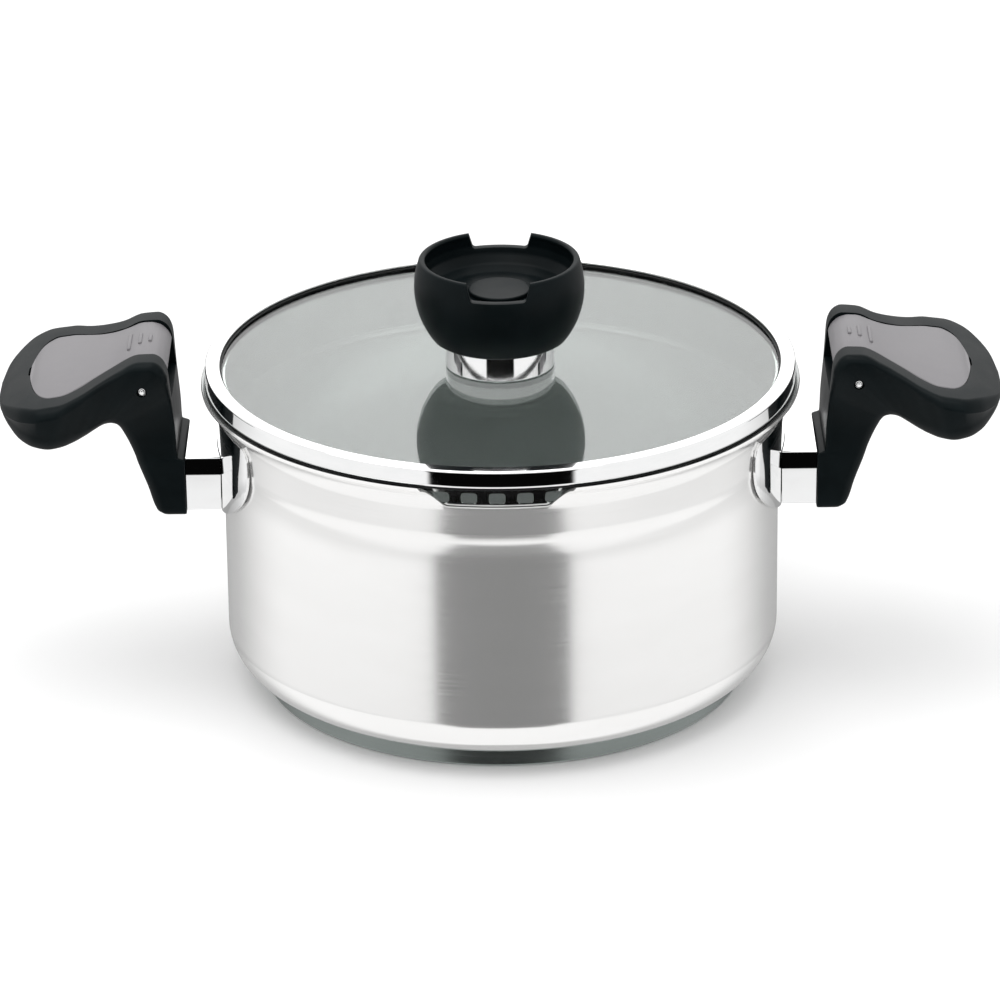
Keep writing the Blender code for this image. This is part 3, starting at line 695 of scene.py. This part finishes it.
# ---------------------------------------------------------------- lid
def build_lid():
    """Seals, polished ring, glass and strainer skirt."""
    (near, far), (low, high) = SEAL_R, SEAL_Z
    seal = eased([(near, high), (far, high), (far, low), (near, low)], {k: SEAL_EDGE for k in range(4)}, 3)
    rim_seal = baked(turned("rim_seal_ring", seal, SILICONE, closed=True), 60)
    stands_for(rim_seal, "seal", "silicone", "rim_seal")
    inner = RING_R - 1.3
    ring = [(RING_IN, RING_TOP), (RING_R, RING_TOP), (RING_R, RING_BOTTOM), (SKIRT_R + 0.4, RING_BOTTOM)]
    ring += [(SKIRT_R + 0.4, GLASS_BOTTOM - GAP), (inner, GLASS_BOTTOM - GAP)]
    ring += [(inner, RING_TOP - 1.1), (RING_IN, RING_TOP - 1.1)]
    ring = eased(ring, {0: 0.4, 1: 0.9, 2: 1.1, 7: 0.3}, 6)
    stands_for(baked(turned("ring_shell", ring, CHROME, closed=True), 50), "lid", "chrome", "lid_ring")
    lip = 143.6
    web = inner - GAP
    seal = [(RING_IN - 0.8, lip), (web, lip), (web, GLASS_BOTTOM), (GLASS_R + GAP, GLASS_BOTTOM)]
    seal += [(GLASS_R + GAP, GLASS_TOP + GAP), (RING_IN - 0.8, GLASS_TOP + GAP)]
    seal = eased(seal, {0: SEAL_EDGE, 5: 0.15}, 3)
    gasket = baked(turned("glass_gasket", seal, SILICONE, closed=True), 60)
    stands_for(gasket, "lid", "silicone", "glass_seal")
    glass = [(PANE_HOLE, GLASS_TOP), (GLASS_R, GLASS_TOP), (GLASS_R, GLASS_BOTTOM), (PANE_HOLE, GLASS_BOTTOM)]
    glass = eased(glass, {1: 1.2, 2: 1.2}, 6)
    pane = baked(turned("glass_pane", glass, GLASS, closed=True), 60)
    pane.visible_shadow = False
    stands_for(pane, "lid", "glass", "lid_glass")

    low, high = SKIRT_Z
    skirt = [(SKIRT_R - SKIRT_T, high), (SKIRT_R, high), (SKIRT_R, low), (SKIRT_R - SKIRT_T, low)]
    skirt = eased(skirt, {2: 0.3, 3: 0.3}, 3)
    obj = turned("skirt_shell", skirt, SKIRT, closed=True)
    half_w, half_h = WINDOW[0] / 2, WINDOW[1] / 2
    corners = [(-half_w, -half_h), (half_w, -half_h), (half_w, half_h), (-half_w, half_h)]
    outline = eased(corners, {k: WINDOW[2] for k in range(4)}, 5)
    middle = (WINDOWS_PER_SIDE - 1) / 2
    tools = bmesh.new()
    for side in range(2):
        for i in range(WINDOWS_PER_SIDE):
            turn = Matrix.Rotation(CLOCKING + (side - 0.5) * pi + (i - middle) * WINDOW_PITCH, 4, "Z")
            rings = []
            for depth in (SKIRT_R - 4, SKIRT_R + 4):
                places = [turn @ (Vector((depth, y, WINDOW_Z + z)) * MM) for y, z in outline]
                rings.append([tools.verts.new(p) for p in places])
            for k in range(len(outline)):
                n = (k + 1) % len(outline)
                tools.faces.new((rings[0][k], rings[0][n], rings[1][n], rings[1][k]))
            tools.faces.new(rings[0])
            tools.faces.new(rings[1])
    cut(obj, add_object("window_tool", mesh_from_bmesh("window_tool", tools)))
    stands_for(baked(obj, 40), "lid", "steel", "strainer_skirt")


def build_knob():
    """Spoon-rest bowl, its cap and the polished collar."""
    rim_angle = asin((KNOB_RIM_Z - KNOB_Z) / KNOB_R)
    foot_angle = -asin((KNOB_Z - KNOB_FOOT_Z - 1.0) / KNOB_R)
    outer = arc((0, KNOB_Z), KNOB_R, rim_angle, foot_angle, 40)
    foot_r = outer[-1][0]
    boss = [(foot_r - 1.6, KNOB_FOOT_Z), (21.0, KNOB_FOOT_Z), (21.0, 169.0), (8.0, 169.0)]
    boss += [(8.0, KNOB_FOOT_Z), (BOLT_HOLE, KNOB_FOOT_Z), (BOLT_HOLE, 171.5), (5.6, 171.5)]
    inner = [(5.6, BOWL_FLOOR_Z), (24.0, BOWL_FLOOR_Z), (29.4, 177.4), (32.4, 181.0), (33.2, 185.0)]
    inner += [(32.6, 188.4), (31.4, KNOB_RIM_Z)]
    profile = inner + outer + boss
    first = len(inner)
    rules = {1: 6.0, 2: 3.0, 3: 3.0, 4: 3.0, 5: 2.0, 6: 1.0, first: 1.2, first + 41: 0.7}
    bowl = turned("bowl_shell", eased(profile, rules, 5), BLACK, steps=144, closed=True)
    half, floor, wide, radius = NOTCH
    top = floor + NOTCH_RISE
    outline = [(-half, floor), (half, floor), (wide, top), (-wide, top)]
    notches = prism("notch_tool", eased(outline, {0: radius, 1: radius}, 5), 60)
    notches.rotation_euler = (0, 0, CLOCKING)
    cut(bowl, notches)
    edged(bowl, 0.55, 50)
    stands_for(baked(bowl, 45), "lid", "black_plastic", "knob_bowl")

    top = KNOB_FOOT_Z - GAP
    foot = GLASS_TOP + GAP
    wall = COLLAR_R - 1.5
    collar = [(BOLT_HOLE + 0.4, top), (COLLAR_R, top), (COLLAR_R, foot), (wall, foot), (wall, top - 1.5)]
    collar.append((BOLT_HOLE + 0.4, top - 1.5))
    collar = eased(collar, {1: 0.7, 2: 0.3}, 5)
    stands_for(baked(turned("collar_shell", collar, COLLAR, 144, True), 50), "lid", "chrome", "knob_collar")
    cap_foot = BOWL_FLOOR_Z + GAP
    cap = eased([(0.0, CAP_TOP), (CAP_R, CAP_TOP), (CAP_R, cap_foot), (0.0, cap_foot)], {1: 0.7}, 5)
    stands_for(baked(turned("cap_shell", cap, BLACK, 96), 50), "lid", "black_plastic", "knob_cap")


# ---------------------------------------------------------------- handles
def section_ring(row):
    """One section of the handle: a rounded trapezoid between two edge points."""
    upper = Vector((row[0], 0.0, row[1]))
    lower = Vector((row[2], 0.0, row[3]))
    side = Vector((0.0, 1.0, 0.0))
    along = (upper - lower).normalized()
    points = []
    for end, half, radius, turn in ((upper, row[4], row[6], 1), (lower, row[5], row[7], -1)):
        corner = []
        for i in range(CORNER_STEPS + 1):
            angle = i * pi / 2 / CORNER_STEPS
            out = half - radius + radius * sin(angle)
            corner.append((out, end - turn * along * radius * (1 - cos(angle))))
        right = [base + side * out for out, base in corner]
        left = [base - side * out for out, base in corner]
        points += left[::-1] + right if turn > 0 else right[::-1] + left
    return points


def plate_frames(steps):
    """Points, directions and half widths along the lever plate's top."""
    rows = interpolated([list(s) for s in PLATE_STATIONS], steps)
    frames = []
    last = len(rows) - 1
    for i, (x, z, half) in enumerate(rows):
        before, after = rows[max(i - 1, 0)], rows[min(i + 1, last)]
        along = Vector((after[0] - before[0], 0.0, after[1] - before[1])).normalized()
        frames.append((Vector((x, 0.0, z)), along, Vector((-along.z, 0.0, along.x)), half))
    return frames


def plate_sections(inward, outward, widen, steps):
    """Sections across the lever plate, from a depth below its top face to a height above it."""
    rings = []
    frames = plate_frames(steps)
    last = len(frames) - 1
    for i, (top, along, normal, half) in enumerate(frames):
        shift = along * (widen if i == last else -widen if i == 0 else 0.0)
        side = Vector((0.0, half + widen, 0.0))
        high = top + shift + normal * outward
        low = top + shift - normal * inward
        rings.append([high - side, high + side, low + side, low - side])
    return rings


def rounded_plate(steps):
    """Sections of the lever plate with eased top edges all round."""
    rings = []
    frames = plate_frames(steps)
    count = len(frames)
    for i, (top, _, normal, half) in enumerate(frames):
        near_end = min(i, count - 1 - i)
        drop = PLATE_EDGE * max(0.0, 1 - near_end / 2.0) * 0.8
        edge = min(PLATE_EDGE, half * 0.4)
        points = []
        for k in range(6):
            angle = k * pi / 2 / 5
            points.append((half - edge + edge * sin(angle), drop + edge * (1 - cos(angle))))
        right = [top + Vector((0, y, 0)) - normal * d for y, d in points]
        left = [top - Vector((0, y, 0)) - normal * d for y, d in points]
        low = top - normal * PLATE_T
        ring = left[::-1] + right + [low + Vector((0, half, 0)), low - Vector((0, half, 0))]
        rings.append(ring)
    return rings


def build_handle_body():
    """Soft black handle: leg, hump and palm, hollowed for the lever, latch and bracket tongue."""
    rows = interpolated([[*a, *b, *c, *d] for a, b, c, d in HANDLE_SECTIONS], STATION_STEPS)
    body = loft("handle_shell", [section_ring(r) for r in rows], BLACK)
    cut(body, loft("recess_tool", plate_sections(RECESS_DEPTH, 6.0, PLATE_PLAY, 4)))
    half = PLATE_STATIONS[0][2] + PLATE_PLAY
    opening = [(139.0, 135.7), (147.2, 135.7), (147.2, 149.0), (139.0, 149.0)]
    cut(body, prism("opening_tool", opening, half))
    x0, x1, _, rib_half = RIB
    rib_room = [(x0 - 1.0, 130.8), (x1 + 2.0, 130.8), (x1 + 2.0, 152.0), (x0 - 1.0, 152.0)]
    cut(body, prism("rib_tool", rib_room, rib_half + PLATE_PLAY))
    seat_x, seat_z, seat_half = SPRING_SEAT
    low = (seat_x - PLATE_PLAY, -seat_half - PLATE_PLAY, seat_z - 1.0)
    cut(body, box("seat_tool", low, (x0, seat_half + PLATE_PLAY, 153.0)))
    latch_room = [(144.2, 91.0), (150.6, 91.0), (154.4, 112.0), (158.6, 131.6), (149.0, 131.6)]
    latch_room.append((144.2, 104.0))
    cut(body, prism("latch_tool", latch_room, rib_half))
    low = (LEG_FACE - 2, -TONGUE_HALF - 0.4, TONGUE_Z[0] - 0.4)
    cut(body, box("socket_tool", low, (TONGUE_END + 0.9, TONGUE_HALF + 0.4, TONGUE_Z[1] + 0.4)))
    x, low, high, coil = SPRING
    center = (x, 0, (low - GAP + high + 1) / 2)
    cut(body, rod("spring_tool", coil + 0.8, center, high + 1 - low + GAP, (0, 0, 1), 32))
    cut(body, rod("hole_tool", PIN_R + GAP, (PIN[0], 0, PIN[1]), 80, (0, 1, 0)))
    both_sides(baked(body, 38), "handle_body", "black_plastic")


def build_lever():
    """Grey release lever: inlaid plate, pivot rib, spring seat and three grip bars towards the back."""
    lever = loft("lever_shell", rounded_plate(STATION_STEPS), GREY)
    x0, x1, bottom, half = RIB
    rib = prism("rib_join", [(x0, bottom), (x1, bottom), (x1, 153.0), (x0, 154.4)], half)
    cut(lever, rib, "UNION")
    seat_x, seat_z, seat_half = SPRING_SEAT
    cut(lever, box("seat_join", (seat_x, -seat_half, seat_z), (x0 + 1.0, seat_half, 152.4)), "UNION")
    for i, (x, length, z) in enumerate(GRIP_BARS):
        low = (x - BAR_HALF, BAR_Y - length / 2, z - 1.5)
        bar = box(f"bar_join_{i}", low, (x + BAR_HALF, BAR_Y + length / 2, z + 0.3), 0.5)
        cut(lever, bar, "UNION")
    cut(lever, rod("bore_tool", PIN_R + GAP, (PIN[0], 0, PIN[1]), 40, (0, 1, 0)))
    both_sides(baked(lever, 40), "release_lever", "grey_plastic", ("left_lever", "right_lever"))


def build_pin():
    """Cross pin with a dimpled head at each end."""
    end = PIN_END
    profile = [(0.0, end - 0.7), (0.7, end - 0.65), (1.15, end - 0.1), (1.35, end), (PIN_R - 0.25, end)]
    profile += [(PIN_R - 0.07, end - 0.07), (PIN_R, end - 0.25)]
    profile += [(r, -y) for r, y in reversed(profile)]
    pin = turned("pin_shell", profile, CHROME, 48)
    pin.data.transform(Matrix.Rotation(pi / 2, 4, "X"))
    pin.data.transform(Matrix.Translation((PIN[0] * MM, 0, PIN[1] * MM)))
    both_sides(baked(pin, 50), "lever_pin", "steel")


def build_bracket():
    """Polished saddle plate on the wall and the box with the tongue that carries the handle."""
    radius = WALL_R + LEDGE_STEP + GAP
    half_line = interpolated([list(p) for p in FOOT_OUTLINE[1:13]], 4)
    line = [FOOT_OUTLINE[0]] + half_line + list(FOOT_OUTLINE[13:])
    outline = line + [(-a, z) for a, z in reversed(line[1:-1])]
    bm = bmesh.new()
    bm.faces.new([bm.verts.new((0.0, a * MM, z * MM)) for a, z in outline])
    for i in range(-20, 21):
        geometry = bm.verts[:] + bm.edges[:] + bm.faces[:]
        place = (0.0, i * SLICE * MM, 0.0)
        bmesh.ops.bisect_plane(bm, geom=geometry, plane_co=place, plane_no=(0.0, 1.0, 0.0))
    for vert in bm.verts:
        angle = vert.co.y / (radius * MM)
        vert.co = Vector((radius * MM * cos(angle), radius * MM * sin(angle), vert.co.z))
    for face in bm.faces:
        face.normal_update()
    mesh = bpy.data.meshes.new("foot_shell")
    bm.to_mesh(mesh)
    bm.free()
    foot = add_object("foot_shell", mesh, CHROME)
    shell = foot.modifiers.new("thickness", "SOLIDIFY")
    shell.thickness = FOOT_T * MM
    shell.offset = 1.0 if mesh.polygons[0].normal.x > 0 else -1.0
    edged(foot, 0.25, 50, 2)
    both_sides(baked(foot, 35), "bracket_foot", "chrome")

    wall = 1.6
    bottom, top = BOX_Z
    bend = top - BOX_BEND
    half = BOX_HALF - BOX_TAPER
    outline = [(-half, bottom), (half, bottom), (BOX_HALF, bend), (BOX_HALF, top)]
    outline += [(-BOX_HALF, top), (-BOX_HALF, bend)]
    outline = eased(outline, {0: BOX_EDGE, 1: BOX_EDGE, 2: 3.0, 3: BOX_EDGE, 4: BOX_EDGE, 5: 3.0}, 6)
    rings = [[(x, y, z) for y, z in outline] for x in (112.0, LEG_FACE - GAP)]
    body = loft("box_shell", rings, CHROME)
    low = (LEG_FACE - 1.0, -TONGUE_HALF, TONGUE_Z[0])
    cut(body, box("tongue_join", low, (TONGUE_END, TONGUE_HALF, TONGUE_Z[1])), "UNION")
    low = (110.0, -half + wall, bottom + wall)
    high = (LEG_FACE - GAP - wall, half - wall, top - wall)
    cut(body, box("hollow_tool", low, high))
    cut(body, box("latch_window_tool", (130.0, -7.2, 92.4), (TONGUE_END + 1, 7.2, 100.8)))
    saddle = radius + FOOT_T + GAP
    cut(body, rod("saddle_tool", saddle, (0, 0, 100), 80, (0, 0, 1), 512))
    both_sides(baked(body, 40), "bracket_box", "chrome")


# ---------------------------------------------------------------- studio
def build_floor():
    """Plain pale floor."""
    bm = bmesh.new()
    bmesh.ops.create_grid(bm, x_segments=2, y_segments=2, size=FLOOR_HALF)
    material, shader, nodes = surface("pale_floor", 0.9)
    tone = nodes.noise((1.5, 1.5, 1.5), 2.0)
    nodes.link(nodes.blend(tone, (0.86, 0.86, 0.86), (0.88, 0.88, 0.88)), shader.inputs["Base Color"])
    shader.inputs["Specular IOR Level"].default_value = 0.0
    floor = add_object("studio_floor", mesh_from_bmesh("studio_floor", bm), material)
    floor.location.z = -0.0005
    floor.visible_glossy = False


def build_world():
    """White surround with a dark gap at the front and a glow high behind, seen in the polished steel."""
    world = bpy.data.worlds.new("studio_surround")
    bpy.context.scene.world = world
    world.use_nodes = True
    world.node_tree.nodes.clear()
    nodes = Nodes(world.node_tree)
    coord = nodes.add("ShaderNodeTexCoord")
    split = nodes.add("ShaderNodeSeparateXYZ")
    nodes.link(coord.outputs["Generated"], split.inputs[0])
    x, y, z = split.outputs
    bearing = nodes.math("ABSOLUTE", nodes.math("ARCTAN2", x, nodes.math("MULTIPLY", y, -1.0)))
    edge = nodes.ramp(z, *GAP_FOOT, *GAP_SIDE)
    beside = nodes.ramp(nodes.math("SUBTRACT", bearing, edge), -GAP_SOFTNESS, GAP_SOFTNESS)
    above = nodes.ramp(z, *GAP_TOP)
    below = nodes.ramp(z, *GAP_BOTTOM, 1.0, 0.0)
    white = nodes.math("MAXIMUM", beside, nodes.math("MAXIMUM", above, below))
    lit = nodes.math("MAXIMUM", white, nodes.ramp(z, *GAP_FOOT, *GAP_LEVEL))
    rear = nodes.ramp(bearing, *REAR_BEARING, 1.0, REAR_LEVEL)
    shade = nodes.math("MAXIMUM", rear, nodes.ramp(z, *REAR_TOP))
    band = nodes.ramp(z, *BAND_HEIGHT, BAND_LEVEL, 1.0, smooth=False)
    band = nodes.math("MAXIMUM", band, nodes.ramp(z, *BAND_FOOT, 1.0, 0.0))
    glow = nodes.math("MULTIPLY", nodes.ramp(bearing, *GLOW_BEARING), nodes.ramp(z, *GLOW_RISE))
    glow = nodes.math("MULTIPLY", glow, nodes.ramp(z, *GLOW_FALL, GLOW_LEVEL, 0.0))
    strength = nodes.math("MULTIPLY", nodes.math("MULTIPLY", lit, shade), band)
    strength = nodes.math("ADD", strength, glow)
    path = nodes.add("ShaderNodeLightPath")
    seen = nodes.math("MAXIMUM", strength, path.outputs["Is Camera Ray"])
    background = nodes.add("ShaderNodeBackground")
    background.inputs["Color"].default_value = (1.0, 1.0, 1.0, 1.0)
    nodes.link(seen, background.inputs["Strength"])
    output = nodes.add("ShaderNodeOutputWorld")
    nodes.link(background.outputs[0], output.inputs["Surface"])


def add_lamp(name, place, size, power, aim=(0.0, 0.0, 0.08)):
    """A soft square area lamp aimed at a point."""
    data = bpy.data.lights.new(name, "AREA")
    data.shape = "SQUARE"
    data.size = size
    data.energy = power
    lamp = bpy.data.objects.new(name, data)
    bpy.context.scene.collection.objects.link(lamp)
    lamp.location = place
    lamp.rotation_mode = "QUATERNION"
    lamp.rotation_quaternion = (Vector(aim) - Vector(place)).to_track_quat("-Z", "Y")
    return lamp


def build_camera():
    """Camera at the photograph's angle."""
    data = bpy.data.cameras.new("photo_camera")
    data.lens = CAMERA_LENS
    data.sensor_width = SENSOR
    data.clip_start = 0.05
    data.clip_end = 60.0
    camera = bpy.data.objects.new("photo_camera", data)
    bpy.context.scene.collection.objects.link(camera)
    forward = Vector((0.0, cos(CAMERA_ELEVATION), -sin(CAMERA_ELEVATION)))
    place = Matrix.Translation(CAMERA_TARGET - forward * CAMERA_DISTANCE)
    turn = forward.to_track_quat("-Z", "Y").to_matrix().to_4x4()
    camera.matrix_world = place @ turn @ Matrix.Rotation(CAMERA_ROLL, 4, "Z")
    bpy.context.scene.camera = camera


for old in list(bpy.data.objects):
    bpy.data.objects.remove(old)
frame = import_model()

build_camera()
build_pot()
build_lid()
build_knob()
build_handle_body()
build_lever()
build_pin()
build_bracket()

# The pieces that stay as the CAD made them
KEPT = {
    "base_core": ALUMINIUM,
    "knob_spacer": SILICONE,
    "knob_bolt": DARK_STEEL,
    "lid_washer": SILICONE,
    "clamp_washer": DARK_STEEL,
    "knob_nut": DARK_STEEL,
    "left_latch_hook": DARK_STEEL,
    "right_latch_hook": DARK_STEEL,
    "left_lever_spring": DARK_STEEL,
    "right_lever_spring": DARK_STEEL,
}
for node, material in KEPT.items():
    for slot in frame["nodes"][node].material_slots:
        slot.material = material

build_floor()
build_world()
add_lamp("top_light", LAMP_PLACE, LAMP_SIZE, LAMP_POWER)
bpy.context.scene.view_settings.view_transform = "Standard"
